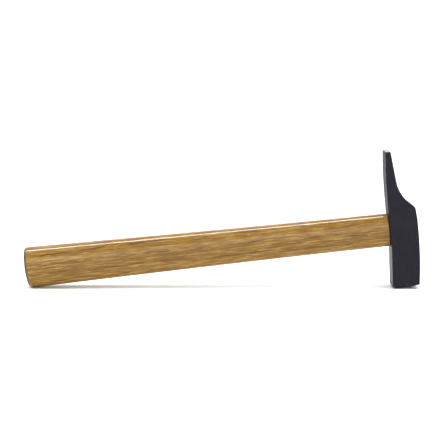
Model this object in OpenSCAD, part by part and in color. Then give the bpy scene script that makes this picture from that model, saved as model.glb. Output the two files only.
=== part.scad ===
// Tack hammer: a forged head with a square crowned face and a cross pein, on an oval ash handle that two
// wedges hold in the eye.
//
// Every piece is drawn in the hammer's own axes: x along the handle with 0 at the head's handle side and
// the butt on the minus side, y across the cheeks, z up the head with 0 on the handle's axis. The module
// at_rest() then stands the hammer on a floor at z = 0, on its striking face and the edge of its butt.

/* [Head] */
// Width of the head from cheek to cheek
head_w = 18; // [15:0.1:21.6]
// Depth of the head at the eye, from the handle side to the outer side
head_depth = 18.3; // [15.2:0.1:22]
// Drop from the handle's axis to the middle of the striking face
face_drop = 38.6; // [32:0.2:46.4]
// Rise from the handle's axis to the top of the pein
pein_reach = 51.5; // [42.4:0.1:62]
// How far the striking end leans back toward the butt
face_lean = 1.5; // [0:0.1:2.5]
// Radius of the striking face's shallow crown
face_crown_r = 38; // [31:1:90]
// Bevel round the striking face
face_bevel = 0.8; // [0.4:0.1:1.2]
// Radius of the gentle curve down the outer side
outer_r = 250; // [180:5:400]
// Height of the fullest point of the outer side, from the handle's axis
outer_mid_z = -3.4; // [-8:0.2:0]
// Height of the shoulder where the pein's throat meets the outer side
shoulder_z = 14.4; // [13:0.2:18]
// Rounding of the shoulder
shoulder_r = 4; // [1.5:0.1:5]

/* [Pein] */
// Thickness of the pein at its tip
pein_tip_t = 3.4; // [2.6:0.1:5]
// Width of the pein at its tip
pein_tip_w = 17.2; // [13:0.1:17.8]
// Angle of the pein's outer side to the head's own axis
pein_slope = 5.7; // [3:0.1:8]
// How far the tip's handle side stands forward of the eye's handle side
pein_offset = 1.4; // [0.4:0.1:2.4]
// Height where the pein's handle side starts to curve forward
pein_curve_z = 20; // [15:0.5:26]
// Radius of the throat between the pein and the shoulder
throat_r = 24; // [19:0.5:30]
// Rounding along the two edges of the pein's tip
pein_tip_r = 0.5; // [0.4:0.1:1.2]

/* [Eye] */
// Height of the eye at the handle side
eye_h = 19; // [15.8:0.1:19.6]
// Width of the eye at the handle side
eye_w = 11; // [8:0.1:12]
// How much wider and taller the eye is at its outer mouth
eye_flare = 1.2; // [0.4:0.1:1.8]
// Depth of the flared part of the eye, from the outer side
flare_depth = 12; // [8:0.5:14]
// Gap all round between pieces that are pressed together
press_gap = 0.02; // [0.01:0.01:0.1]

/* [Handle] */
// Length of the handle outside the head
grip_length = 239.3; // [200:0.1:290]
// Height of the handle at the butt
butt_h = 26.9; // [22:0.1:30]
// Thickness of the handle at the butt
butt_t = 18.4; // [15:0.1:21]
// Height of the handle where it meets the head
neck_h = 21.6; // [20.2:0.1:22]
// Thickness of the handle where it meets the head
neck_t = 14.2; // [13.6:0.1:15]
// How the swell gathers toward the butt: 1 is a straight taper
swell_power = 1.4; // [1:0.05:2.5]
// Squareness of the oval section: 2 is an ellipse
oval_power = 2.3; // [2:0.05:3]
// Rounding of the butt's rim at the bottom
butt_rim_r = 4; // [2:0.1:5.5]
// Rounding of the butt's rim at the top
butt_top_r = 2.4; // [1:0.1:5.5]
// Height of the butt's dome inside its rim
butt_dome = 1.1; // [0.2:0.1:2]
// Chamfer where the handle meets the head
neck_chamfer = 0.7; // [0.3:0.1:0.9]
// How far the handle's end stands out of the eye
tongue_proud = 0.4; // [0.2:0.1:1]

/* [Wedges] */
// Thickness of the wooden wedge at the outer end
wood_wedge_t = 3; // [2:0.1:3.6]
// Thickness of the wooden wedge at its tip
wood_wedge_tip = 0.9; // [0.5:0.1:1.2]
// Depth of the wooden wedge from the handle's end
wood_wedge_depth = 13; // [9:0.5:14]
// Depth of the saw cut in the handle's end
kerf_depth = 15; // [14.5:0.5:17]
// Width of the steel wedge
steel_wedge_w = 8; // [6:0.1:8.5]
// Thickness of the steel wedge at the outer end
steel_wedge_t = 1.8; // [1.2:0.1:2.4]
// Thickness of the steel wedge at its tip
steel_wedge_tip = 0.4; // [0.2:0.1:0.6]
// Depth of the steel wedge from the handle's end
steel_wedge_depth = 10; // [8:0.5:12]
// Turn of the steel wedge from square across the eye
steel_wedge_turn = 30; // [0:5:40]
// Barbs cut in each edge of the steel wedge
barbs = 3; // [1:1:4]
// Depth of the barbs
barb_depth = 0.5; // [0.3:0.1:0.8]

/* [Hidden] */
$fn = 96;
spill = 5;      // how far a cutting shape runs past what it cuts
bevel_run = 2;  // how far the face's bevels run on below its edge
steel_black = "#2c2d30";
steel_bright = "#a9abad";
ash = "#b98a50";
beech = "#caa06a";

// The side profile of the head, seen across the cheeks, is drawn in x and z
face_mid_x = (outer_x(-face_drop) - face_lean) / 2;
throat = throat_centre();
throat_top = throat - throat_r * [cos(pein_slope), sin(pein_slope)];
outer_centre = [head_depth - outer_r, outer_mid_z];
shoulder = two_circles(outer_centre, outer_r - shoulder_r, throat, throat_r + shoulder_r);
pein_back_r = (pow(pein_reach - pein_curve_z, 2) + pow(pein_offset, 2)) / (2 * pein_offset);
flat_margin = 1.2;                          // from the handle down to the flat below it
flat_top_z = -(neck_h / 2 + flat_margin);

// The crowned face's edges lie a little above its middle, and its corners twice as far
crown_rise = face_crown_r - sqrt(pow(face_crown_r, 2) - pow(head_w / 2, 2));
face_edge_z = -face_drop + crown_rise;

tongue_end = head_depth + tongue_proud;
flare_start = head_depth - flare_depth;

// The handle's lofted shape
ring_points = 40;
body_rings = 14;
rim_rings = 5;
dome_rings = 4;

// The stance: the crown's circle and the butt rim's circle both touch the floor
crown_centre = [face_mid_x, -face_drop + face_crown_r];
rim_centre = [rim_start(-90), -half_section(rim_start(-90))[1] + butt_rim_r];
stance = crown_centre - rim_centre;
rest_tilt = asin((face_crown_r - butt_rim_r) / norm(stance)) - atan2(stance[1], stance[0]);
rest_z = face_crown_r - turned(crown_centre)[1];
outer_most = turned(outer_centre)[0] + outer_r;
dome_h = half_section(rim_start(90))[1] - butt_top_r;
dome_z = tan(rest_tilt) * pow(dome_h, 2) / (2 * butt_dome);
butt_most = turned([-grip_length + butt_dome * pow(dome_z / dome_h, 2), dome_z])[0];
rest_x = -(outer_most + butt_most) / 2;

// A point of the hammer's x and z axes after the stance's turn
function turned(p) = [p[0] * cos(rest_tilt) - p[1] * sin(rest_tilt),
                      p[0] * sin(rest_tilt) + p[1] * cos(rest_tilt)];

// The outer side's x at height z
function outer_x(z) = head_depth - outer_r + sqrt(pow(outer_r, 2) - pow(z - outer_mid_z, 2));

// A point of the pein's outer side at height z, on its straight part
function pein_outer_x(z) = pein_offset + pein_tip_t + (pein_reach - z) * tan(pein_slope);

// The throat's circle touches the pein's outer side and passes through the shoulder's corner
function throat_centre() =
    let (along = [sin(pein_slope), -cos(pein_slope)],
         out = [cos(pein_slope), sin(pein_slope)],
         start = [pein_outer_x(pein_reach), pein_reach] + throat_r * out,
         to_corner = [outer_x(shoulder_z), shoulder_z] - start,
         down = to_corner * along,
         off = to_corner * out)
    start + (down - sqrt(pow(throat_r, 2) - pow(off, 2))) * along;

// Where two circles meet, below the line from the first one's centre to the second's
function two_circles(a, ra, b, rb) =
    let (d = norm(b - a),
         u = (b - a) / d,
         s = (pow(ra, 2) - pow(rb, 2) + pow(d, 2)) / (2 * d),
         h = sqrt(pow(ra, 2) - pow(s, 2)))
    a + s * u + h * [u[1], -u[0]];

// A superellipse's coordinate for one of its half sizes
function oval(half, c) = half * sign(c) * pow(abs(c), 2 / oval_power);

// Half sizes of the handle's section at x, as [thickness, height]
function swell(x) = pow(abs(x) / grip_length, swell_power);
function half_section(x) = [neck_t + (butt_t - neck_t) * swell(x), neck_h + (butt_h - neck_h) * swell(x)] / 2;

// Rounding of the butt's rim at angle a round the handle, and the x where it starts to turn in
function rim_r(a) = butt_rim_r + (butt_top_r - butt_rim_r) * (1 + sin(a)) / 2;
function rim_start(a) = -grip_length + butt_dome + rim_r(a);

// A point of the loft at x and angle a, on an oval of the half sizes
function skin(x, a, half) = [x, oval(half[0], cos(a)), oval(half[1], sin(a))];

// The half sizes inside the butt's rim at angle a
function inside_rim(a) = half_section(rim_start(a)) - rim_r(a) * [1, 1];

module at_rest() {
    translate([rest_x, 0, rest_z]) rotate([0, -rest_tilt, 0]) children();
}

// Extrudes a shape drawn in x and z across the hammer's width
module across(w) {
    translate([0, w / 2, 0]) rotate([90, 0, 0]) linear_extrude(w) children();
}

// Extrudes a shape drawn in y and z along the hammer's x from x0 to x1
module along(x0, x1) {
    translate([x0, 0, 0]) rotate([90, 0, 90]) linear_extrude(x1 - x0) children();
}

// The head's outline from the side
module side_profile() {
    outer_edge_x = outer_x(face_edge_z);
    difference() {
        intersection() {
            polygon([
                [0, flat_top_z],
                [-face_lean, face_edge_z + face_bevel],
                [-face_lean + face_bevel + bevel_run, face_edge_z - bevel_run],
                [outer_edge_x - face_bevel - bevel_run, face_edge_z - bevel_run],
                [outer_edge_x, face_edge_z + face_bevel],
                [head_depth + spill, shoulder_z],
                [head_depth + spill, throat_top[1]],
                throat_top,
                [pein_outer_x(pein_reach), pein_reach],
                [0, pein_reach]
            ]);
            translate(outer_centre) circle(outer_r);
        }
        translate(throat) circle(throat_r);
        shoulder_waste();
        pein_back_waste();
    }
}

// What the rounding takes off the shoulder's corner
module shoulder_waste() {
    outer_touch = outer_centre + outer_r * (shoulder - outer_centre) / norm(shoulder - outer_centre);
    throat_touch = throat + throat_r * (shoulder - throat) / norm(shoulder - throat);
    difference() {
        polygon([shoulder, outer_touch, [outer_touch[0] + spill, outer_touch[1] + 1],
                 [throat_touch[0] + spill, throat_touch[1] + spill], throat_touch]);
        translate(shoulder) circle(shoulder_r);
    }
}

// What the long curve takes off the pein's handle side
module pein_back_waste() {
    difference() {
        translate([-spill, pein_curve_z])
            square([spill + pein_offset + pein_tip_t / 2, pein_reach - pein_curve_z + spill]);
        translate([pein_back_r, pein_curve_z]) circle(pein_back_r);
    }
}

// The head's outline from the front: cheeks, bevelled face and slightly narrowed pein
module front_profile() {
    half_w = head_w / 2;
    right = [[half_w - face_bevel - bevel_run, face_edge_z - bevel_run], [half_w, face_edge_z + face_bevel],
             [half_w, shoulder_z], [pein_tip_w / 2, pein_reach]];
    polygon(concat(right, [for (i = [3:-1:0]) [-right[i][0], right[i][1]]]));
}

// The eye's space between x0 and x1, grown by grow on every side, with its widths at the two ends
module eye_space(x0, x1, w0, w1, grow) {
    straight = eye_h - eye_w;
    for (side = [-1, 1])
        translate([x0, 0, side * straight / 2])
            rotate([0, 90, 0])
                cylinder(h = x1 - x0, r1 = w0 / 2 + grow, r2 = w1 / 2 + grow);
    translate([0, 0, -straight / 2]) linear_extrude(straight)
        polygon([[x0, -w0 / 2 - grow], [x1, -w1 / 2 - grow], [x1, w1 / 2 + grow], [x0, w0 / 2 + grow]]);
}

// The whole eye from x0 outward to x1: straight, then flared
module eye_shape(x0, x1, grow) {
    end_w = eye_w + eye_flare * (x1 - flare_start) / flare_depth;
    eye_space(x0, flare_start, eye_w, eye_w, grow);
    eye_space(flare_start, x1, eye_w, end_w, grow);
}

// What the crowned face takes off the bottom of the head
module crown_waste() {
    difference() {
        translate([-spill - face_lean, -head_w, -face_drop - spill])
            cube([head_depth + 3 * spill, 2 * head_w, spill + 3 * crown_rise]);
        translate([face_mid_x, 0, -face_drop + face_crown_r]) sphere(face_crown_r);
    }
}

// What the rounding takes off one edge of the pein's tip; side is -1 for the handle side
module tip_waste(side) {
    edge_x = side < 0 ? pein_offset : pein_outer_x(pein_reach);
    mid = [edge_x - side * pein_tip_r, pein_reach - pein_tip_r];
    across(head_w + spill) difference() {
        translate(side < 0 ? [mid[0] - spill, mid[1]] : mid) square([spill, spill]);
        translate(mid) circle(pein_tip_r);
    }
}

module head() {
    color(steel_black) at_rest() difference() {
        intersection() {
            across(head_w) side_profile();
            along(-spill - face_lean, head_depth + spill) front_profile();
        }
        eye_shape(-spill, head_depth + spill, 0);
        crown_waste();
        tip_waste(-1);
        tip_waste(1);
    }
}

// The handle outside the head, lofted through oval rings from the neck to the butt
module grip() {
    angles = [for (i = [0:ring_points - 1]) 360 * i / ring_points];
    chamfered = half_section(0) - neck_chamfer * [1, 1];
    rings = concat(
        [[for (a = angles) skin(-press_gap, a, chamfered)]],
        [for (i = [0:body_rings]) [for (a = angles)
            let (x = -neck_chamfer + (rim_start(a) + neck_chamfer) * i / body_rings)
            skin(x, a, half_section(x))]],
        [for (i = [1:rim_rings]) let (t = 90 * i / rim_rings) [for (a = angles)
            skin(rim_start(a) - rim_r(a) * sin(t), a, inside_rim(a) + rim_r(a) * cos(t) * [1, 1])]],
        [for (i = [1:dome_rings]) let (k = 1 - i / (dome_rings + 1)) [for (a = angles)
            skin(-grip_length + butt_dome * pow(k, 2), a, inside_rim(a) * k)]]);
    count = len(rings);
    last = count * ring_points;
    points = concat([for (r = rings) each r], [[-grip_length, 0, 0]]);
    sides = [for (r = [0:count - 2], i = [0:ring_points - 1])
        let (a = r * ring_points + i, b = r * ring_points + (i + 1) % ring_points)
        each [[a, b, a + ring_points], [b, b + ring_points, a + ring_points]]];
    neck_face = [for (i = [ring_points - 1:-1:0]) i];
    butt_face = [for (i = [0:ring_points - 1])
        [last - ring_points + i, last - ring_points + (i + 1) % ring_points, last]];
    polyhedron(points, concat([neck_face], sides, butt_face), convexity = 4);
}

// The space of a flat wedge with its broad faces square to y, which runs on past the handle's end
module wedge_space(w, t, tip, depth, grow) {
    x0 = tongue_end - depth;
    x1 = tongue_end + spill;
    y0 = tip / 2 + grow;
    y1 = (t + (t - tip) * spill / depth) / 2 + grow;
    translate([0, 0, -w / 2 - grow]) linear_extrude(w + 2 * grow)
        polygon([[x0, -y0], [x1, -y1], [x1, y1], [x0, y0]]);
}

// The wooden wedge's space, across the eye's full height
module wooden_wedge_space(grow) {
    wedge_space(eye_h + eye_flare + spill, wood_wedge_t, wood_wedge_tip, wood_wedge_depth, grow);
}

// The steel wedge's space, turned across the wooden one
module steel_wedge_space(grow) {
    rotate([90 - steel_wedge_turn, 0, 0])
        wedge_space(steel_wedge_w, steel_wedge_t, steel_wedge_tip, steel_wedge_depth, grow);
}

module handle() {
    color(ash) at_rest() difference() {
        union() {
            grip();
            eye_shape(-2 * neck_chamfer, tongue_end, -press_gap);
        }
        wooden_wedge_space(press_gap);
        steel_wedge_space(press_gap);
        kerf();
    }
}

// The saw cut that the wooden wedge is driven into
module kerf() {
    h = eye_h + eye_flare + spill;
    translate([tongue_end - kerf_depth, -wood_wedge_tip / 2 - press_gap, -h / 2])
        cube([kerf_depth, wood_wedge_tip + 2 * press_gap, h]);
}

module wooden_wedge() {
    color(beech) at_rest() difference() {
        intersection() {
            wooden_wedge_space(0);
            eye_shape(0, tongue_end, -press_gap);
        }
        steel_wedge_space(press_gap);
    }
}

module steel_wedge() {
    color(steel_bright) at_rest() difference() {
        intersection() {
            steel_wedge_space(0);
            translate([0, -head_w, -head_w]) cube([tongue_end, 2 * head_w, 2 * head_w]);
        }
        rotate([90 - steel_wedge_turn, 0, 0]) for (side = [-1, 1]) barb_cuts(side);
    }
}

// The notches that leave the barbs on one edge of the steel wedge
module barb_cuts(side) {
    pitch = steel_wedge_depth / (barbs + 1);
    for (i = [1:barbs])
        translate([tongue_end - pitch * i, 0, side * steel_wedge_w / 2])
            across(steel_wedge_t + spill)
                polygon([[0, 0], [pitch / 2, -side * barb_depth], [pitch / 2, side], [0, side]]);
}

head();
handle();
wooden_wedge();
steel_wedge();
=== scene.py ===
"""The tack hammer's looks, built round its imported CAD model.

Pieces are drawn in the hammer's own axes, in metres: x along the handle with 0 at the head's handle side
and the butt on the minus side, y across the cheeks, z up the head with 0 on the handle's axis. stood()
turns and moves their points to where the hammer stands in the row frame, on its face and its butt's edge.
"""

import math

import bmesh
import bpy
import numpy as np
from mathutils import Matrix, Vector


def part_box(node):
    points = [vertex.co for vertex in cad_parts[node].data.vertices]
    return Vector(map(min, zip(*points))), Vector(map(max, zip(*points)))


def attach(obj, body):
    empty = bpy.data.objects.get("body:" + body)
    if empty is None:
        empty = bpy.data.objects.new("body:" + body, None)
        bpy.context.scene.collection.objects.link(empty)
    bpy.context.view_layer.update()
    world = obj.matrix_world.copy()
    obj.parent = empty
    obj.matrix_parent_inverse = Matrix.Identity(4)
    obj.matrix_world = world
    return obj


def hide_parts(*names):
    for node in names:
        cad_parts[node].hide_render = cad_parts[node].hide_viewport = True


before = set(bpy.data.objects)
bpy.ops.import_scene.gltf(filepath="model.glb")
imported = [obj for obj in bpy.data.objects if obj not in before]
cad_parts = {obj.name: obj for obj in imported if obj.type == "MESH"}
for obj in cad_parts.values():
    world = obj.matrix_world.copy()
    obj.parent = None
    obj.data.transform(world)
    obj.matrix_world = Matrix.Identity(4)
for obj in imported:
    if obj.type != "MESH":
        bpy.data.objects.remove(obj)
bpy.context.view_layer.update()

MM = 0.001

# The head, with the CAD model's sizes
HEAD_W = 18 * MM
HEAD_DEPTH = 18.3 * MM
FACE_DROP = 38.6 * MM
PEIN_REACH = 51.5 * MM
FACE_LEAN = 1.5 * MM
FACE_CROWN_R = 38 * MM
FACE_BEVEL = 0.8 * MM
OUTER_R = 250 * MM
OUTER_MID_Z = -3.4 * MM
SHOULDER_Z = 14.4 * MM
SHOULDER_R = 4 * MM
PEIN_TIP_T = 3.4 * MM
PEIN_TIP_W = 17.2 * MM
PEIN_SLOPE = math.radians(5.7)
PEIN_OFFSET = 1.4 * MM
PEIN_CURVE_Z = 20 * MM
THROAT_R = 24 * MM
PEIN_TIP_R = 0.5 * MM
EDGE_R = 0.55 * MM  # rounding of the head's long edges
TIP_EDGE_R = 0.1 * MM  # the least that is left of it round the pein's tip
BEVEL_BLEND = 0.25 * MM  # rounding between the striking face and its bevel

# The eye and what is pressed into it
EYE_H = 19 * MM
EYE_W = 11 * MM
EYE_FLARE = 1.2 * MM
FLARE_DEPTH = 12 * MM
PRESS_GAP = 0.02 * MM
MOUTH_R = 0.5 * MM  # rounding of the eye's outer mouth
TONGUE_PROUD = 0.4 * MM
WOOD_WEDGE_T = 3 * MM
WOOD_WEDGE_TIP = 0.9 * MM
WOOD_WEDGE_DEPTH = 13 * MM
KERF_DEPTH = 15 * MM
STEEL_WEDGE_W = 8 * MM
STEEL_WEDGE_T = 1.8 * MM
STEEL_WEDGE_TIP = 0.4 * MM
STEEL_WEDGE_DEPTH = 10 * MM
STEEL_WEDGE_TURN = math.radians(30)
BARBS = 3
BARB_DEPTH = 0.5 * MM
BARB_STEP = 0.02 * MM  # small drop where each barb's slope begins
WOOD_EDGE_R = 0.1 * MM
STEEL_EDGE_R = 0.08 * MM

# The handle
GRIP_LENGTH = 239.3 * MM
BUTT_H = 26.9 * MM
BUTT_T = 18.4 * MM
NECK_H = 21.6 * MM
NECK_T = 14.2 * MM
SWELL_POWER = 1.4
OVAL_POWER = 2.3
BUTT_RIM_R = 4 * MM
BUTT_TOP_R = 2.4 * MM
BUTT_DOME = 1.1 * MM
NECK_CHAMFER = 0.7 * MM
TONGUE_END_R = 0.3 * MM  # rounding of the tongue's end
FLAT_MARGIN = 1.2 * MM  # from the handle down to the flat below it

# What follows from them, as in the CAD model
TONGUE_END = HEAD_DEPTH + TONGUE_PROUD
FLARE_START = HEAD_DEPTH - FLARE_DEPTH
EYE_STRAIGHT = EYE_H - EYE_W
FLAT_TOP_Z = -(NECK_H / 2 + FLAT_MARGIN)
CROWN_RISE = FACE_CROWN_R - math.sqrt(FACE_CROWN_R**2 - (HEAD_W / 2) ** 2)
FACE_EDGE_Z = -FACE_DROP + CROWN_RISE
BEVEL_TOP_Z = FACE_EDGE_Z + FACE_BEVEL
PEIN_BACK_R = ((PEIN_REACH - PEIN_CURVE_Z) ** 2 + PEIN_OFFSET**2) / (2 * PEIN_OFFSET)
STEEL_SWING = math.pi / 2 - STEEL_WEDGE_TURN


# ---------------------------------------------------------------- outlines and the stance


def half_section(x):
    """The handle's half thickness and half height at x."""
    swell = (abs(x) / GRIP_LENGTH) ** SWELL_POWER
    return (NECK_T + (BUTT_T - NECK_T) * swell) / 2, (NECK_H + (BUTT_H - NECK_H) * swell) / 2


def rim_r(angle):
    """Rounding of the butt's rim at this angle round the handle."""
    return BUTT_RIM_R + (BUTT_TOP_R - BUTT_RIM_R) * (1 + math.sin(angle)) / 2


def rim_start(angle):
    """The x where the butt's rim starts to turn in."""
    return -GRIP_LENGTH + BUTT_DOME + rim_r(angle)


def outer_x(z):
    """The outer side's x at height z."""
    return HEAD_DEPTH - OUTER_R + np.sqrt(OUTER_R**2 - (z - OUTER_MID_Z) ** 2)


def pein_outer_x(z):
    """The x of the pein's outer side at height z, on its straight part."""
    return PEIN_OFFSET + PEIN_TIP_T + (PEIN_REACH - z) * math.tan(PEIN_SLOPE)


def throat_centre():
    """The throat's circle touches the pein's outer side and passes through the shoulder's corner."""
    along = np.array([math.sin(PEIN_SLOPE), -math.cos(PEIN_SLOPE)])
    out = np.array([math.cos(PEIN_SLOPE), math.sin(PEIN_SLOPE)])
    start = np.array([pein_outer_x(PEIN_REACH), PEIN_REACH]) + THROAT_R * out
    to_corner = np.array([outer_x(SHOULDER_Z), SHOULDER_Z]) - start
    return start + (to_corner @ along - math.sqrt(THROAT_R**2 - (to_corner @ out) ** 2)) * along


def two_circles(a, ra, b, rb):
    """Where two circles meet, below the line from the first one's centre to the second's."""
    d = np.linalg.norm(b - a)
    u = (b - a) / d
    s = (ra**2 - rb**2 + d**2) / (2 * d)
    return a + s * u + math.sqrt(ra**2 - s**2) * np.array([u[1], -u[0]])


def touch_z(centre, radius, other):
    """Height where the circle meets the line from its centre to the other centre."""
    return (centre + radius * (other - centre) / np.linalg.norm(other - centre))[1]


FACE_MID_X = (outer_x(-FACE_DROP) - FACE_LEAN) / 2
THROAT = throat_centre()
THROAT_TOP_Z = THROAT[1] - THROAT_R * math.sin(PEIN_SLOPE)
OUTER_CENTRE = np.array([HEAD_DEPTH - OUTER_R, OUTER_MID_Z])
SHOULDER = two_circles(OUTER_CENTRE, OUTER_R - SHOULDER_R, THROAT, THROAT_R + SHOULDER_R)
SHOULDER_LOW_Z = touch_z(OUTER_CENTRE, OUTER_R, SHOULDER)
SHOULDER_TOP_Z = touch_z(THROAT, THROAT_R, SHOULDER)


def stance():
    """The matrix that stands the hammer up: its crown's circle and its butt rim's circle touch the floor."""
    crown = Vector((FACE_MID_X, 0, -FACE_DROP + FACE_CROWN_R))
    low = rim_start(-math.pi / 2)
    rim = Vector((low, 0, -half_section(low)[1] + BUTT_RIM_R))
    span = crown - rim
    tilt = math.asin((FACE_CROWN_R - BUTT_RIM_R) / span.length) - math.atan2(span.z, span.x)
    turn = Matrix.Rotation(-tilt, 4, "Y")
    outer_most = (turn @ Vector((OUTER_CENTRE[0], 0, OUTER_CENTRE[1]))).x + OUTER_R
    move = Vector((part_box("head")[1].x - outer_most, 0, FACE_CROWN_R - (turn @ crown).z))
    return Matrix.Translation(move) @ turn


STANCE = stance()


def stood(points):
    """Points of the hammer's own axes, in the row frame."""
    rotation = np.array(STANCE.to_3x3())
    return np.asarray(points) @ rotation.T + np.array(STANCE.translation)


# ---------------------------------------------------------------- mesh helpers


def quarter_turn(steps):
    """The angles from 0 to a right angle in equal steps."""
    return [math.pi / 2 * i / steps for i in range(steps + 1)]


class Shell:
    """The points and faces of one mesh."""

    def __init__(self):
        self.points = []
        self.faces = []

    def loop(self, points):
        """Adds points and returns their numbers."""
        start = len(self.points)
        self.points.extend(tuple(p) for p in points)
        return list(range(start, len(self.points)))

    def band(self, a, b):
        """Faces between two closed loops of the same length."""
        for i in range(len(a)):
            j = (i + 1) % len(a)
            self.faces.append((a[i], a[j], b[j], b[i]))

    def fan(self, loop, point):
        """Faces from a closed loop to one point."""
        tip = self.loop([point])[0]
        for i in range(len(loop)):
            self.faces.append((loop[i], loop[(i + 1) % len(loop)], tip))

    def mesh(self, name):
        """The mesh, stood in the row frame, with its faces turned outward and shaded smooth."""
        made = bpy.data.meshes.new(name)
        made.from_pydata(stood(self.points).tolist(), [], self.faces)
        bm = bmesh.new()
        bm.from_mesh(made)
        bmesh.ops.recalc_face_normals(bm, faces=bm.faces)
        bm.to_mesh(made)
        bm.free()
        made.shade_smooth()
        return made


def linked(name, data):
    """A new object in the scene, for this mesh, light or camera."""
    made = bpy.data.objects.new(name, data)
    bpy.context.scene.collection.objects.link(made)
    return made


def applied(obj):
    """Applies the object's modifiers to its mesh."""
    depsgraph = bpy.context.evaluated_depsgraph_get()
    mesh = bpy.data.meshes.new_from_object(obj.evaluated_get(depsgraph))
    obj.modifiers.clear()
    obj.data = mesh
    return obj


def cut(obj, cutter, operation="DIFFERENCE"):
    """Cuts the object with the cutter, which is used up."""
    step = obj.modifiers.new("cut", "BOOLEAN")
    step.operation = operation
    step.solver = "EXACT"
    step.object = cutter
    applied(obj)
    bpy.data.objects.remove(cutter)


def softened(obj, width, sharp=30.0):
    """Rounds the object's edges that turn by more than this many degrees."""
    step = obj.modifiers.new("soften", "BEVEL")
    step.width = width
    step.segments = 3
    step.limit_method = "ANGLE"
    step.angle_limit = math.radians(sharp)
    return applied(obj)


def weighted(obj):
    """Leans each corner's shading toward its largest face, so that flat sides look flat up to their edges."""
    step = obj.modifiers.new("weighted", "WEIGHTED_NORMAL")
    step.weight = 60
    return applied(obj)


def finished(obj, node, material):
    """Puts the piece in place of its CAD node, with its finish."""
    obj.data.materials.clear()
    obj.data.materials.append(material)
    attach(obj, "root")
    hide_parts(node)


# ---------------------------------------------------------------- the eye


def stadium(angle, width, grow):
    """The point of the eye's outline, in y and z, that lies in this direction from its middle."""
    r = width / 2 + grow
    c, s = math.cos(angle), math.sin(angle)
    half = EYE_STRAIGHT / 2
    if abs(c) > 1e-9 and abs(r / c * s) <= half:
        reach = r / abs(c)
    else:
        reach = half * abs(s) + math.sqrt(max(r**2 - (half * c) ** 2, 0))
    return reach * c, reach * s


def eye_width(x):
    """The eye's width at depth x: straight at first, then flared."""
    return EYE_W + EYE_FLARE * max(x - FLARE_START, 0) / FLARE_DEPTH


def eye_loop(angles, x, grow):
    """The eye's outline at depth x, one point for each angle."""
    return [(x, *stadium(a, eye_width(x), grow)) for a in angles]


# ---------------------------------------------------------------- the head

SIDE_STEPS = 26  # across the handle side and the outer side
CHEEK_STEPS = 22  # across each cheek
CORNER_STEPS = 5  # round each long edge
PATCH_STEPS = 5  # from the edge of the window below in to the eye's mouth
WINDOW_Z = 11.4 * MM  # half height of the patch that holds the eye's mouth


def head_section(z):
    """The head's limits at height z: handle side x, outer side x and half width."""
    if z < FLAT_TOP_Z:
        inner = -FACE_LEAN * (FLAT_TOP_Z - z) / (FLAT_TOP_Z - BEVEL_TOP_Z)
    elif z < PEIN_CURVE_Z:
        inner = 0.0
    else:
        inner = PEIN_BACK_R - math.sqrt(PEIN_BACK_R**2 - (z - PEIN_CURVE_Z) ** 2)
    if z < SHOULDER_LOW_Z:
        outer = float(outer_x(z))
    elif z < SHOULDER_TOP_Z:
        outer = SHOULDER[0] + math.sqrt(SHOULDER_R**2 - (z - SHOULDER[1]) ** 2)
    elif z < THROAT_TOP_Z:
        outer = THROAT[0] - math.sqrt(THROAT_R**2 - (z - THROAT[1]) ** 2)
    else:
        outer = pein_outer_x(z)
    narrowed = max(z - SHOULDER_Z, 0) / (PEIN_REACH - SHOULDER_Z)
    return inner, outer, (HEAD_W + (PEIN_TIP_W - HEAD_W) * narrowed) / 2


def section_loop(z, section, edge_r):
    """A rounded rectangle: near cheek, outer side, far cheek, handle side, each followed by its corner."""
    x0, x1, half_w = section
    r = edge_r
    sides = [
        ((x0 + r, -half_w + r), (x1 - r, -half_w + r), CHEEK_STEPS, -90),
        ((x1 - r, -half_w + r), (x1 - r, half_w - r), SIDE_STEPS, 0),
        ((x1 - r, half_w - r), (x0 + r, half_w - r), CHEEK_STEPS, 90),
        ((x0 + r, half_w - r), (x0 + r, -half_w + r), SIDE_STEPS, 180),
    ]
    points = []
    for a, b, steps, facing in sides:
        out = math.radians(facing)
        push = r * math.cos(out), r * math.sin(out)
        for i in range(steps + 1):
            k = i / steps
            points.append((a[0] + (b[0] - a[0]) * k + push[0], a[1] + (b[1] - a[1]) * k + push[1], z))
        for turn in quarter_turn(CORNER_STEPS)[1:-1]:
            points.append((b[0] + r * math.cos(out + turn), b[1] + r * math.sin(out + turn), z))
    return points


def soft_max(a, b, blend):
    """The larger of two heights, rounded where they are close."""
    near = max(blend - abs(a - b), 0) / blend
    return max(a, b) + near**2 * blend / 4


def face_z(x, y, section):
    """Height of the crowned face, with its bevels and their rounded edges."""
    x0, x1, half_w = section
    across = (x - FACE_MID_X) ** 2 + y**2
    height = -FACE_DROP + FACE_CROWN_R - math.sqrt(FACE_CROWN_R**2 - across)
    for inset in (x - x0, x1 - x, half_w - abs(y)):
        height = soft_max(height, BEVEL_TOP_Z - inset, BEVEL_BLEND)
    return height


def striking_face(shell, first):
    """Closes the bottom of the head with the crowned face."""
    section = head_section(BEVEL_TOP_Z)
    rim = np.array([shell.points[i] for i in first])
    # Each ring's share of the rim: close together over the bevel, wider apart over the crown
    shares = [1 - 0.012 * i for i in range(1, 11)] + [0.84, 0.78, 0.7, 0.6, 0.48, 0.36, 0.24, 0.12]
    last = first
    for share in shares:
        ring = []
        for x, y, _ in rim:
            px, py = FACE_MID_X + (x - FACE_MID_X) * share, y * share
            ring.append((px, py, min(face_z(px, py, section), BEVEL_TOP_Z)))
        ring = shell.loop(ring)
        shell.band(last, ring)
        last = ring
    shell.fan(last, (FACE_MID_X, 0, -FACE_DROP))


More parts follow.
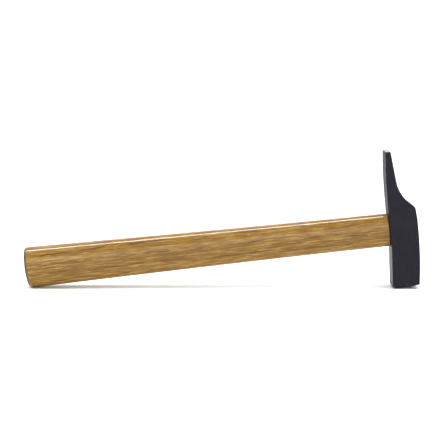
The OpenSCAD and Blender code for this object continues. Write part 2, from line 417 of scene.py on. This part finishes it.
def pein_tip(shell, last):
    """Closes the top of the pein with its rounded edges and narrow flat."""
    x0, x1, half_w = head_section(PEIN_REACH)
    for turn in quarter_turn(6)[1:]:
        inset = PEIN_TIP_R * (1 - math.cos(turn))
        z = PEIN_REACH - PEIN_TIP_R * (1 - math.sin(turn))
        section = (x0 + inset, x1 - inset, half_w - inset)
        ring = shell.loop(section_loop(z, section, max(EDGE_R - inset, TIP_EDGE_R)))
        shell.band(last, ring)
        last = ring
    shell.faces.append(tuple(last))


def head_heights():
    """The heights of the head's rows, closer together round the eye and the shoulder."""
    above_shoulder = SHOULDER_TOP_Z + 1 * MM
    stretches = [
        (BEVEL_TOP_Z, -WINDOW_Z, 26),
        (-WINDOW_Z, WINDOW_Z, 36),
        (WINDOW_Z, above_shoulder, 14),
        (above_shoulder, PEIN_REACH - PEIN_TIP_R, 46),
    ]
    heights = [BEVEL_TOP_Z]
    for low, high, steps in stretches:
        heights += [low + (high - low) * i / steps for i in range(1, steps + 1)]
    return heights


def eye_patch(shell, rows, window_rows, first_column, side_x, mouth_x, grows):
    """Faces from the window's edge in to the eye's mouth, on one side of the head.

    grows lists the mouth's rounding as pairs: how much larger than the eye, and how far below the surface.
    Returns the loop at the eye's wall, and the angle of each of its points.
    """
    low, high = window_rows
    columns = [first_column + i for i in range(SIDE_STEPS + 1)]
    edge = [rows[low][c] for c in columns]
    edge += [rows[r][columns[-1]] for r in range(low + 1, high)]
    edge += [rows[high][c] for c in reversed(columns)]
    edge += [rows[r][columns[0]] for r in range(high - 1, low, -1)]
    spots = [shell.points[i] for i in edge]
    angles = [math.atan2(p[2], p[1]) for p in spots]
    mouth = [stadium(a, eye_width(mouth_x), grows[0][0]) for a in angles]
    last = edge
    for i in range(1, PATCH_STEPS + 1):
        k = i / PATCH_STEPS
        ring = []
        for (_, y, z), (my, mz) in zip(spots, mouth):
            py, pz = y + (my - y) * k, z + (mz - z) * k
            ring.append((side_x(pz), py, pz))
        ring = shell.loop(ring)
        shell.band(last, ring)
        last = ring
    inward = -1 if mouth_x > 0 else 1
    for grow, below in grows[1:]:
        ring = []
        for a in angles:
            y, z = stadium(a, eye_width(mouth_x), grow)
            ring.append((side_x(z) + inward * below, y, z))
        ring = shell.loop(ring)
        shell.band(last, ring)
        last = ring
    return last, angles


def head():
    """The forged head: lofted in rows, with the eye through it."""
    shell = Shell()
    heights = head_heights()
    rows = [shell.loop(section_loop(z, head_section(z), EDGE_R)) for z in heights]
    low = min(range(len(heights)), key=lambda i: abs(heights[i] + WINDOW_Z))
    high = min(range(len(heights)), key=lambda i: abs(heights[i] - WINDOW_Z))
    outer_first = CHEEK_STEPS + CORNER_STEPS
    inner_first = 2 * (CHEEK_STEPS + CORNER_STEPS) + SIDE_STEPS + CORNER_STEPS
    open_columns = {first + i for first in (outer_first, inner_first) for i in range(SIDE_STEPS)}
    count = len(rows[0])
    for r in range(len(rows) - 1):
        for c in range(count):
            if low <= r < high and c in open_columns:
                continue
            d = (c + 1) % count
            shell.faces.append((rows[r][c], rows[r][d], rows[r + 1][d], rows[r + 1][c]))
    rounded = [(MOUTH_R * (1 - math.sin(t)), MOUTH_R * (1 - math.cos(t))) for t in quarter_turn(4)]
    outer_loop, angles = eye_patch(
        shell, rows, (low, high), outer_first, lambda z: float(outer_x(z)), HEAD_DEPTH, rounded
    )
    inner_loop, inner_angles = eye_patch(
        shell, rows, (low, high), inner_first, lambda z: 0.0, 0.0, [(0.0, 0.0)]
    )
    # The handle side's loop runs the other way round, so it is matched to the outer one by angle
    order = [min(range(len(inner_angles)), key=lambda j: abs(math.remainder(inner_angles[j] - a, math.tau)))
             for a in angles]
    inner_matched = [inner_loop[j] for j in order]
    last = outer_loop
    for x in (HEAD_DEPTH - 2 * MOUTH_R, HEAD_DEPTH - FLARE_DEPTH / 2, FLARE_START, FLARE_START / 2):
        ring = shell.loop(eye_loop(angles, x, 0.0))
        shell.band(last, ring)
        last = ring
    shell.band(last, inner_matched)
    striking_face(shell, rows[0])
    pein_tip(shell, rows[-1])
    return linked("hammer_head", shell.mesh("hammer_head"))


# ---------------------------------------------------------------- the handle and the wedges

HANDLE_POINTS = 112  # round the handle
RIM_STEPS = 12  # round the butt's rim
GRIP_STEPS = 90  # along the grip


def skin(x, angle, half_t, half_h):
    """The point at x and this angle on a superellipse across the handle."""
    c, s = math.cos(angle), math.sin(angle)
    y = half_t * math.copysign(abs(c) ** (2 / OVAL_POWER), c)
    z = half_h * math.copysign(abs(s) ** (2 / OVAL_POWER), s)
    return x, y, z


def inside_rim(angle):
    """Half thickness and half height inside the butt's rim at this angle."""
    half_t, half_h = half_section(rim_start(angle))
    return half_t - rim_r(angle), half_h - rim_r(angle)


def grip_rings():
    """Rings from the butt's dome, round its rim and up the grip to the neck."""
    angles = [math.tau * i / HANDLE_POINTS for i in range(HANDLE_POINTS)]
    rings = []
    for k in (0.15, 0.3, 0.45, 0.6, 0.75, 0.88):
        x = -GRIP_LENGTH + BUTT_DOME * k**2
        rings.append([skin(x, a, inside_rim(a)[0] * k, inside_rim(a)[1] * k) for a in angles])
    for i in range(RIM_STEPS + 1):
        turn = math.pi / 2 * (1 - i / RIM_STEPS)
        ring = []
        for a in angles:
            half_t, half_h = inside_rim(a)
            out = rim_r(a) * math.cos(turn)
            ring.append(skin(rim_start(a) - rim_r(a) * math.sin(turn), a, half_t + out, half_h + out))
        rings.append(ring)
    for i in range(1, GRIP_STEPS + 1):
        stations = [rim_start(a) + (-NECK_CHAMFER - rim_start(a)) * i / GRIP_STEPS for a in angles]
        rings.append([skin(x, a, *half_section(x)) for x, a in zip(stations, angles)])
    neck_t, neck_h = half_section(0)
    for turn in quarter_turn(4)[1:]:
        inset = NECK_CHAMFER * (1 - math.cos(turn))
        x = -NECK_CHAMFER + (NECK_CHAMFER - PRESS_GAP) * math.sin(turn)
        rings.append([skin(x, a, neck_t - inset, neck_h - inset) for a in angles])
    return rings


def tongue(shell, angles, x0):
    """Adds the loops that fill the eye from x0 to the handle's end, and returns the first and the last."""
    first = shell.loop(eye_loop(angles, x0, -PRESS_GAP))
    last = first
    stops = [(FLARE_START, 0.0), (TONGUE_END - TONGUE_END_R, 0.0)]
    for turn in quarter_turn(3)[1:]:
        stops.append((TONGUE_END - TONGUE_END_R * (1 - math.sin(turn)), TONGUE_END_R * (1 - math.cos(turn))))
    for x, inset in stops:
        ring = shell.loop(eye_loop(angles, x, -PRESS_GAP - inset))
        shell.band(last, ring)
        last = ring
    return first, last


def swung(x, y, z, turn):
    """The point turned about the handle's axis."""
    return x, y * math.cos(turn) - z * math.sin(turn), y * math.sin(turn) + z * math.cos(turn)


def wedge_cutter(width, thick, tip, depth, grow, turn=0.0):
    """The space of a flat wedge, which runs on past the handle's end. turn swings it about the handle."""
    past = 5 * MM
    x0, x1 = TONGUE_END - depth, TONGUE_END + past
    y0 = tip / 2 + grow
    y1 = (thick + (thick - tip) * past / depth) / 2 + grow
    half = width / 2 + grow
    shell = Shell()
    outline = [(x0, -y0), (x1, -y1), (x1, y1), (x0, y0)]
    loops = [shell.loop(swung(x, y, z, turn) for x, y in outline) for z in (-half, half)]
    shell.band(*loops)
    shell.faces += [tuple(reversed(loops[0])), tuple(loops[1])]
    return linked("cutter", shell.mesh("cutter"))


WOOD_WEDGE_H = EYE_H + EYE_FLARE + 5 * MM  # taller than the eye, which trims it


def wooden_cutter(grow):
    """The space of the wooden wedge, before the eye trims it."""
    return wedge_cutter(WOOD_WEDGE_H, WOOD_WEDGE_T, WOOD_WEDGE_TIP, WOOD_WEDGE_DEPTH, grow)


def steel_cutter(grow):
    """The space of the steel wedge, without its barbs."""
    return wedge_cutter(STEEL_WEDGE_W, STEEL_WEDGE_T, STEEL_WEDGE_TIP, STEEL_WEDGE_DEPTH, grow, STEEL_SWING)


def handle():
    """The ash handle, lofted from the butt to the end of its tongue, then slotted for the wedges."""
    shell = Shell()
    last = None
    for points in grip_rings():
        ring = shell.loop(points)
        if last is None:
            shell.fan(ring, (-GRIP_LENGTH, 0, 0))
        else:
            shell.band(last, ring)
        last = ring
    angles = [math.atan2(shell.points[i][2], shell.points[i][1]) for i in last]
    first, end = tongue(shell, angles, -PRESS_GAP)
    shell.band(last, first)
    shell.faces.append(tuple(end))
    made = linked("handle_grip", shell.mesh("handle_grip"))
    cut(made, wooden_cutter(PRESS_GAP))
    cut(made, steel_cutter(PRESS_GAP))
    cut(made, wedge_cutter(WOOD_WEDGE_H, WOOD_WEDGE_TIP, WOOD_WEDGE_TIP, KERF_DEPTH, PRESS_GAP))
    made.name = "ash_handle"
    return made


def wooden_wedge():
    """The beech wedge, trimmed to the eye and split by the steel one."""
    shell = Shell()
    angles = [math.tau * i / 96 for i in range(96)]
    first, end = tongue(shell, angles, 0.0)
    shell.faces += [tuple(reversed(first)), tuple(end)]
    made = linked("beech_wedge", shell.mesh("beech_wedge"))
    cut(made, wooden_cutter(0), "INTERSECT")
    cut(made, steel_cutter(PRESS_GAP))
    return softened(made, WOOD_EDGE_R)


def steel_wedge():
    """The barbed steel wedge, drawn flat in x and z and then turned about the handle."""
    pitch = STEEL_WEDGE_DEPTH / (BARBS + 1)
    half = STEEL_WEDGE_W / 2
    edge = [(TONGUE_END - STEEL_WEDGE_DEPTH, half)]
    for i in range(BARBS, 0, -1):
        x = TONGUE_END - pitch * i
        edge += [(x, half), (x, half - BARB_STEP), (x + pitch / 2, half - BARB_DEPTH), (x + pitch / 2, half)]
    edge.append((TONGUE_END, half))
    outline = edge + [(x, -z) for x, z in reversed(edge)]
    shell = Shell()
    loops = []
    for side in (-1, 1):
        points = []
        for x, z in outline:
            share = (x - TONGUE_END + STEEL_WEDGE_DEPTH) / STEEL_WEDGE_DEPTH
            y = side * (STEEL_WEDGE_TIP + (STEEL_WEDGE_T - STEEL_WEDGE_TIP) * share) / 2
            points.append(swung(x, y, z, STEEL_SWING))
        loops.append(shell.loop(points))
    shell.band(*loops)
    shell.faces += [tuple(reversed(loops[0])), tuple(loops[1])]
    made = linked("steel_wedge_barbed", shell.mesh("steel_wedge_barbed"))
    return softened(made, STEEL_EDGE_R, sharp=40)


# ---------------------------------------------------------------- materials


def srgb(r, g, b):
    """A colour given as 0 to 255 screen values, as linear RGBA."""
    return (*(((v / 255 + 0.055) / 1.055) ** 2.4 if v > 10 else v / 255 / 12.92 for v in (r, g, b)), 1.0)


class Graph:
    """A material's nodes, with short calls for those used here."""

    def __init__(self, name):
        self.material = bpy.data.materials.new(name)
        self.material.use_nodes = True
        self.tree = self.material.node_tree
        self.shader = self.tree.nodes["Principled BSDF"]

    def node(self, kind, **settings):
        """A new node with these settings."""
        made = self.tree.nodes.new(kind)
        for name, value in settings.items():
            setattr(made, name, value)
        return made

    def put(self, socket, value):
        """Links the socket to another, or sets its value."""
        if isinstance(value, bpy.types.NodeSocket):
            self.tree.links.new(value, socket)
        else:
            socket.default_value = value

    def shade(self, **values):
        """Sets the shader's sockets, whose names have _ for a space."""
        for name, value in values.items():
            self.put(self.shader.inputs[name.replace("_", " ")], value)

    def math(self, operation, a, b=0.0):
        """One step of arithmetic on values or sockets."""
        made = self.node("ShaderNodeMath", operation=operation)
        self.put(made.inputs[0], a)
        self.put(made.inputs[1], b)
        return made.outputs[0]

    def plus(self, a, b):
        return self.math("ADD", a, b)

    def minus(self, a, b):
        return self.math("SUBTRACT", a, b)

    def times(self, a, b):
        return self.math("MULTIPLY", a, b)

    def over(self, a, b):
        return self.math("DIVIDE", a, b)

    def step(self, value, low, high):
        """0 below low, 1 above high, smooth between; high may be below low."""
        made = self.node("ShaderNodeMapRange", interpolation_type="SMOOTHSTEP")
        self.put(made.inputs["Value"], value)
        flipped = high < low
        made.inputs["From Min"].default_value = min(low, high)
        made.inputs["From Max"].default_value = max(low, high)
        made.inputs["To Min"].default_value = 1.0 if flipped else 0.0
        made.inputs["To Max"].default_value = 0.0 if flipped else 1.0
        return made.outputs[0]

    def stretched(self, vector, x, y, z):
        """The vector with its axes scaled; a small factor draws a texture out along that axis."""
        made = self.node("ShaderNodeVectorMath", operation="MULTIPLY")
        self.put(made.inputs[0], vector)
        made.inputs[1].default_value = (x, y, z)
        return made.outputs[0]

    def noise(self, vector, scale, detail, roughness):
        """Smooth noise round 0.5."""
        made = self.node("ShaderNodeTexNoise")
        self.put(made.inputs["Vector"], vector)
        made.inputs["Scale"].default_value = scale
        made.inputs["Detail"].default_value = detail
        made.inputs["Roughness"].default_value = roughness
        return made.outputs["Fac"]

    def ramp(self, factor, *stops):
        """A colour ramp; each stop is a place and a colour."""
        made = self.node("ShaderNodeValToRGB")
        elements = made.color_ramp.elements
        while len(elements) < len(stops):
            elements.new(0.5)
        for element, (place, colour) in zip(elements, stops):
            element.position = place
            element.color = colour
        self.put(made.inputs["Fac"], factor)
        return made.outputs["Color"]

    def mix(self, factor, a, b):
        """Colour a where the factor is 0 and colour b where it is 1."""
        made = self.node("ShaderNodeMix", data_type="RGBA")
        # The node keeps its sockets for colours behind those for numbers and vectors
        for socket, value in ((0, factor), (6, a), (7, b)):
            self.put(made.inputs[socket], value)
        return made.outputs[2]

    def tint(self, under, mask, cover, colour):
        """Lays a colour over another where the mask is 1; cover is how much of it is hidden there."""
        return self.mix(self.times(mask, cover), under, colour)

    def bump(self, height, distance, strength):
        """A normal bent by this height."""
        made = self.node("ShaderNodeBump")
        self.put(made.inputs["Height"], height)
        made.inputs["Distance"].default_value = distance
        made.inputs["Strength"].default_value = strength
        return made.outputs["Normal"]

    def hammer_axes(self):
        """The surface's place in the hammer's own axes, in millimetres."""
        made = self.node("ShaderNodeMapping", vector_type="TEXTURE")
        self.put(made.inputs["Vector"], self.node("ShaderNodeTexCoord").outputs["Object"])
        made.inputs["Location"].default_value = STANCE.translation
        made.inputs["Rotation"].default_value = STANCE.to_euler()
        made.inputs["Scale"].default_value = (MM, MM, MM)
        return made.outputs["Vector"]

    def split(self, vector):
        """The vector's x, y and z."""
        made = self.node("ShaderNodeSeparateXYZ")
        self.put(made.inputs[0], vector)
        return made.outputs

    def end_facing(self, way=1):
        """1 where the surface faces along the handle, 0 on its sides; way is -1 for toward the butt."""
        made = self.node("ShaderNodeVectorMath", operation="DOT_PRODUCT")
        self.put(made.inputs[0], self.node("ShaderNodeNewGeometry").outputs["Normal"])
        made.inputs[1].default_value = STANCE.to_3x3() @ Vector((way, 0, 0))
        return self.math("MAXIMUM", made.outputs["Value"], 0.0)


def black_lacquer():
    """Black lacquer over forged steel, with the striking face and the pein's edge ground bright."""
    g = Graph("black_lacquer")
    place = g.hammer_axes()
    x, y, z = g.split(place)
    cloud = g.noise(place, 0.12, 3, 0.55)
    scale = g.noise(place, 1.1, 5, 0.6)
    peel = g.noise(place, 3.2, 2, 0.4)
    forge_relief_and_glint = g.noise(g.stretched(place, 1, 0.9, 0.45), 1, 4, 0.7)
    black = g.mix(g.step(cloud, 0.35, 0.7), srgb(15, 13, 26), srgb(23, 20, 28))
    black = g.mix(g.step(scale, 0.5, 0.8), black, srgb(30, 28, 34))
    # The ground part of the striking face ends in an uneven line just inside its bevel
    wobble = g.minus(g.noise(place, 0.7, 3, 0.6), 0.5)
    face_z, tip_z = FACE_EDGE_Z / MM, PEIN_REACH / MM
    face = g.step(g.plus(z, g.times(wobble, 0.5)), face_z - 0.1, face_z - 0.3)
    # The ground patch on the pein's edge stays clear of its rim
    across = g.over(g.minus(x, (PEIN_OFFSET + PEIN_TIP_T / 2) / MM), PEIN_TIP_T / MM / 2)
    along = g.over(y, PEIN_TIP_W / MM / 2)
    reach = g.plus(*(g.math("POWER", g.math("ABSOLUTE", share), 4) for share in (across, along)))
    patch = g.step(g.plus(reach, g.times(wobble, 1.2)), 0.2, 0.04)
    tip = g.times(patch, g.step(z, tip_z - 0.3, tip_z - 0.1))
    bright = g.math("MAXIMUM", face, tip)
    scratches = g.noise(g.stretched(place, 6, 0.35, 6), 1, 3, 0.6)
    steel = g.mix(g.step(scratches, 0.3, 0.7), srgb(128, 128, 130), srgb(172, 171, 170))
    # The lacquer is rubbed thin here and there along the edges, and the lighter grey laid there is partly a
    # painted edge highlight
    edge = g.node("ShaderNodeNewGeometry").outputs["Pointiness"]
    edge_wear_and_glint = g.times(g.step(edge, 0.53, 0.6), g.step(g.noise(place, 0.55, 4, 0.65), 0.45, 0.65))
    base = g.tint(black, edge_wear_and_glint, 0.5, srgb(92, 87, 86))
    # The handle side of the pein, above the handle, is left rough from the forge, and the lighter grey flecks
    # laid over it there are painted glints
    back = g.times(g.end_facing(-1), g.step(z, 9, 13))
    base = g.tint(base, g.times(back, g.step(forge_relief_and_glint, 0.54, 0.66)), 0.5, srgb(104, 99, 106))
    rough = g.plus(g.plus(0.34, g.times(scale, 0.18)), g.times(back, 0.12))
    relief = g.plus(g.times(scale, 0.7), g.times(peel, 0.3))
    relief = g.plus(relief, g.times(g.times(forge_relief_and_glint, back), 9))
    g.shade(
        Base_Color=g.mix(bright, base, steel),
        Metallic=g.math("MAXIMUM", bright, g.times(edge_wear_and_glint, 0.25)),
        Roughness=g.minus(rough, g.times(bright, 0.08)),
        Specular_IOR_Level=0.145,
        Normal=g.bump(relief, 0.07 * MM, 0.5),
    )
    return g.material


def varnished_ash():
    """Straight-grained ash under clear varnish: growth rings, dark hairlines, pores and fine fibre."""
    g = Graph("varnished_ash")
    place = g.hammer_axes()
    x, y, z = g.split(place)
    # Distances in millimetres from the tree's heart, which runs beside and below the handle, leans a
    # little against it, and is bent by a slow and a quicker noise
    heart_y, heart_z, lean = 26, -60, 0.006
    drift = g.noise(g.stretched(place, 0.009, 0.04, 0.04), 1, 2, 0.5)
    ripple = g.noise(g.stretched(place, 0.045, 0.25, 0.25), 1, 3, 0.55)
    side, up = g.minus(y, heart_y), g.minus(z, heart_z)
    radius = g.math("SQRT", g.plus(g.times(side, side), g.times(up, up)))
    radius = g.plus(radius, g.times(x, lean))
    radius = g.plus(radius, g.times(g.minus(drift, 0.5), 9))
    radius = g.plus(radius, g.times(g.minus(ripple, 0.5), 1.4))
    # Noises drawn out along the handle, from broad bands to single fibres
    band = g.noise(g.stretched(place, 0.006, 0.16, 0.16), 1, 1, 0.5)
    streak = g.noise(g.stretched(place, 0.03, 1.05, 1.05), 1, 4, 0.55)
    fleck = g.noise(g.stretched(place, 0.1, 1.7, 1.7), 1, 3, 0.6)
    fibre = g.noise(g.stretched(place, 0.06, 3.2, 3.2), 1, 3, 0.6)
    pore = g.noise(g.stretched(place, 0.16, 3.6, 3.6), 1, 1.5, 0.5)
    tone_w, ring_w, line_w = 26, 2.9, 5.3  # how often the tone, the rings and the hairlines come back
    wood = g.ramp(
        g.math("PINGPONG", g.over(radius, tone_w), 1.0),
        (0.0, srgb(123, 89, 12)),
        (0.3, srgb(131, 96, 19)),
        (0.6, srgb(125, 90, 13)),
        (0.8, srgb(132, 98, 22)),
        (1.0, srgb(122, 87, 12)),
    )
    phase = g.math("FRACT", g.over(radius, ring_w))
    early = g.times(g.step(phase, 0.0, 0.06), g.step(phase, 0.34, 0.08))
    wood = g.tint(wood, early, 0.45, srgb(114, 73, 7))
    wood = g.tint(wood, g.step(band, 0.5, 0.72), 0.4, srgb(160, 130, 62))
    wood = g.tint(wood, g.step(streak, 0.52, 0.62), 0.5, srgb(110, 69, 8))
    wood = g.tint(wood, g.step(streak, 0.48, 0.36), 0.5, srgb(164, 132, 60))
    wood = g.tint(wood, g.step(fleck, 0.52, 0.61), 0.6, srgb(104, 62, 10))
    wood = g.tint(wood, g.step(fleck, 0.47, 0.36), 0.6, srgb(178, 146, 76))
    wood = g.tint(wood, g.step(fibre, 0.45, 0.7), 0.35, srgb(106, 67, 11))
    # Thin dark lines along some of the rings, broken off here and there
    line = g.math("FRACT", g.over(radius, line_w))
    hairline = g.times(g.step(line, 0.0, 0.04), g.step(line, 0.15, 0.09))
    kept = g.step(g.noise(g.stretched(place, 0.05, 0.35, 0.35), 1, 2, 0.5), 0.48, 0.55)
    wood = g.tint(wood, g.times(hairline, kept), 0.85, srgb(78, 46, 8))
    pores = g.times(g.step(pore, 0.56, 0.66), g.plus(0.3, g.times(early, 0.7)))
    wood = g.tint(wood, pores, 0.45, srgb(88, 51, 12))
    # End grain drinks the varnish, so it is dark and dull
    ends = g.step(g.math("MAXIMUM", g.end_facing(), g.end_facing(-1)), 0.45, 0.85)
    wood = g.tint(wood, ends, 0.9, srgb(44, 28, 14))
    g.shade(
        Base_Color=wood,
        Roughness=g.plus(0.42, g.times(fibre, 0.15)),
        Specular_IOR_Level=0.08,
        Coat_Weight=g.minus(0.6, g.times(ends, 0.55)),
        Coat_Roughness=0.09,
        Coat_IOR=1.5,
        Normal=g.bump(g.minus(g.times(fibre, 0.5), pores), 0.05 * MM, 0.4),
    )
    return g.material


def cut_beech():
    """Bare beech: close, even grain with short flecks."""
    g = Graph("cut_beech")
    place = g.hammer_axes()
    grain = g.noise(g.stretched(place, 0.3, 3.5, 1.2), 1, 4, 0.6)
    fleck = g.noise(g.stretched(place, 0.8, 9, 2.5), 1, 2, 0.5)
    wood = g.mix(g.step(grain, 0.3, 0.7), srgb(205, 164, 116), srgb(178, 132, 84))
    g.shade(
        Base_Color=g.tint(wood, g.step(fleck, 0.58, 0.68), 0.6, srgb(132, 88, 50)),
        Roughness=g.plus(0.55, g.times(grain, 0.2)),
        Normal=g.bump(grain, 0.08 * MM, 0.6),
    )
    return g.material


def hammered_steel():
    """The wedge's steel: bright where it was struck, dull and slightly brown elsewhere."""
    g = Graph("hammered_steel")
    place = g.hammer_axes()
    dents = g.noise(place, 1.4, 4, 0.6)
    brown = g.noise(place, 0.7, 3, 0.6)
    steel = g.mix(g.step(dents, 0.35, 0.7), srgb(138, 139, 141), srgb(186, 186, 187))
    g.shade(
        Base_Color=g.tint(steel, g.step(brown, 0.5, 0.75), 0.5, srgb(112, 88, 68)),
        Metallic=0.9,
        Roughness=g.plus(0.28, g.times(dents, 0.25)),
        Normal=g.bump(dents, 0.08 * MM, 0.7),
    )
    return g.material


def pale_floor():
    """The studio's floor: a dull white with the faintest unevenness."""
    g = Graph("pale_floor")
    tone = g.noise(g.node("ShaderNodeTexCoord").outputs["Object"], 40, 3, 0.5)
    g.shade(
        Base_Color=g.mix(tone, srgb(244, 244, 243), srgb(248, 248, 248)),
        Roughness=0.9,
        Specular_IOR_Level=0.1,
    )
    return g.material


# ---------------------------------------------------------------- the studio


def cyclorama():
    """The floor, which curves up into a wall far behind the hammer."""
    half, front, bend_y, bend_r, top = 4.0, -4.0, 2.2, 0.8, 3.0
    line = [(front, 0.0), (bend_y, 0.0)]
    line += [(bend_y + bend_r * math.sin(a), bend_r * (1 - math.cos(a))) for a in quarter_turn(16)[1:]]
    line.append((bend_y + bend_r, top))
    points = [(side * half, y, z) for side in (-1, 1) for y, z in line]
    n = len(line)
    mesh = bpy.data.meshes.new("floor")
    mesh.from_pydata(points, [], [(i, n + i, n + i + 1, i + 1) for i in range(n - 1)])
    mesh.shade_smooth()
    mesh.materials.append(pale_floor())
    floor = linked("floor", mesh)


def area_light(name, place, target, size, power):
    """A rectangular light at a place, turned toward its target."""
    light = bpy.data.lights.new(name, "AREA")
    light.shape = "RECTANGLE"
    light.size, light.size_y = size
    light.energy = power
    made = linked(name, light)
    made.location = place
    made.rotation_euler = (Vector(target) - Vector(place)).to_track_quat("-Z", "Y").to_euler()
    return made


def studio():
    """A bright white room with four lights.

    A broad one overhead only lights, and a narrow strip beside it only reflects, as the line along the
    handle's top. A low card in front only reflects too, in the sides, and a wash whitens the wall.
    """
    world = bpy.data.worlds.new("room")
    world.use_nodes = True
    sky = world.node_tree.nodes["Background"].inputs
    sky["Color"].default_value = (1.0, 1.0, 1.0, 1.0)
    sky["Strength"].default_value = 0.95
    bpy.context.scene.world = world
    area_light("overhead", (0, -0.06, 1.2), (0, 0, 0), (2.4, 0.9), 24).visible_glossy = False
    area_light("strip_shine", (0, 0.03, 1.2), (0, 0, 0), (2.4, 0.18), 46).visible_diffuse = False
    area_light("front_card", (0, -3, 0.7), (0, 0, 0.1), (7, 1.3), 62).visible_diffuse = False
    area_light("wall_wash", (0, 1.3, 1.6), (0, 3, 0.8), (5.0, 0.6), 60)


def camera():
    """A long lens in front of the hammer and a little above it, aimed slightly down."""
    place = Vector((-0.01475, -0.97245, 0.18054))
    pitch, yaw, roll = math.radians(7.978), math.radians(0.804), math.radians(0.09)
    lens = bpy.data.cameras.new("camera")
    lens.sensor_width = 36
    lens.lens = 123.24
    ahead = Vector((math.sin(yaw) * math.cos(pitch), math.cos(yaw) * math.cos(pitch), -math.sin(pitch)))
    right = Vector((math.cos(yaw), -math.sin(yaw), 0))
    up = right.cross(ahead)
    right, up = right * math.cos(roll) + up * math.sin(roll), up * math.cos(roll) - right * math.sin(roll)
    made = linked("camera", lens)
    made.matrix_world = Matrix.Translation(place) @ Matrix((right, up, -ahead)).transposed().to_4x4()
    bpy.context.scene.camera = made


bpy.context.scene.view_settings.view_transform = "Standard"  # plain screen colours, as in a product photo
camera()
studio()
cyclorama()

finished(weighted(head()), "head", black_lacquer())
finished(weighted(handle()), "handle", varnished_ash())
finished(wooden_wedge(), "wooden_wedge", cut_beech())
finished(steel_wedge(), "steel_wedge", hammered_steel())
